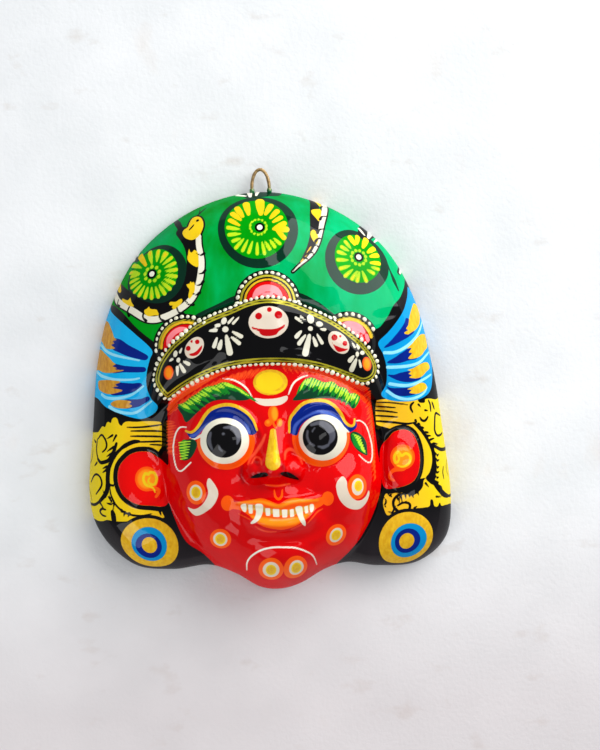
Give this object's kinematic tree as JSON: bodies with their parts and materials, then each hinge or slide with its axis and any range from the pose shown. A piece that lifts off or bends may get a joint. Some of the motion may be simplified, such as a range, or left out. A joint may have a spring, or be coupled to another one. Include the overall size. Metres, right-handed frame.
{
  "type": "papier-mache deity mask",
  "caption": "Moulded papier-mache deity mask with an open back, lying face up on its flat rim: domed headdress, crown band, staring eyes, fangs, ears and a wire loop to hang it by.",
  "frame": {"origin": "on the surface that the mask lies on, under the middle of its footprint, the wire loop included", "axes": "+Z out of the face, away from the surface; +Y towards the top of the head and the wire loop; +X to the viewer's right when the face is looked at"},
  "size_m": [0.242, 0.2814, 0.0819],
  "materials": {
    "painted_papier_mache": "hand-painted in red, green, black, gold and blue under a glossy clear lacquer; raw grey-brown layered paper on the hollow side",
    "loop_wire": "dull brownish wire with green paint where it leaves the mask"
  },
  "bodies": {
    "root": {"mask_shell": "painted_papier_mache", "hanging_loop": "loop_wire"}
  },
  "joints": []
}
